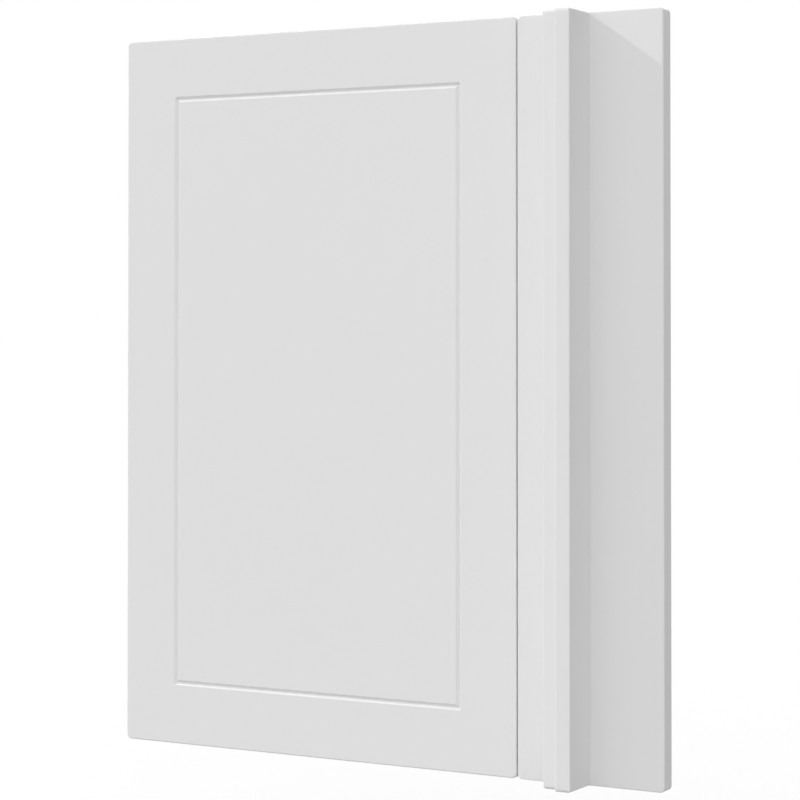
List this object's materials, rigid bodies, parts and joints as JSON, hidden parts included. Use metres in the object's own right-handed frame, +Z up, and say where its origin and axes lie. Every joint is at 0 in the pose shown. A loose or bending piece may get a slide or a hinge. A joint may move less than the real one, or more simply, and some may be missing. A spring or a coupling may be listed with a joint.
{
  "type": "kitchen cabinet door with corner post and blind panel",
  "caption": "White kitchen front set for an inside corner: a door panel with a milled V-groove frame line, a stepped corner post and a blind panel, for fixing to a base cabinet.",
  "frame": {"origin": "middle of the set's width and depth, at its lower edge", "axes": "+X to the right along the fronts as seen from the room, +Y from the room into the cabinet, +Z up"},
  "size_m": [0.596, 0.059, 0.713],
  "materials": {
    "coated_board": "matt white foil on medium-density fibreboard",
    "zinc_steel": "bright zinc plate",
    "beech": "plain beech"
  },
  "bodies": {
    "root": {"door_panel": "coated_board", "face_strip": "coated_board", "return_strip": "coated_board", "fixing_batten": "coated_board", "blind_panel": "coated_board", "countersunk_screws": "zinc_steel", "wood_dowels": "beech"}
  },
  "joints": []
}
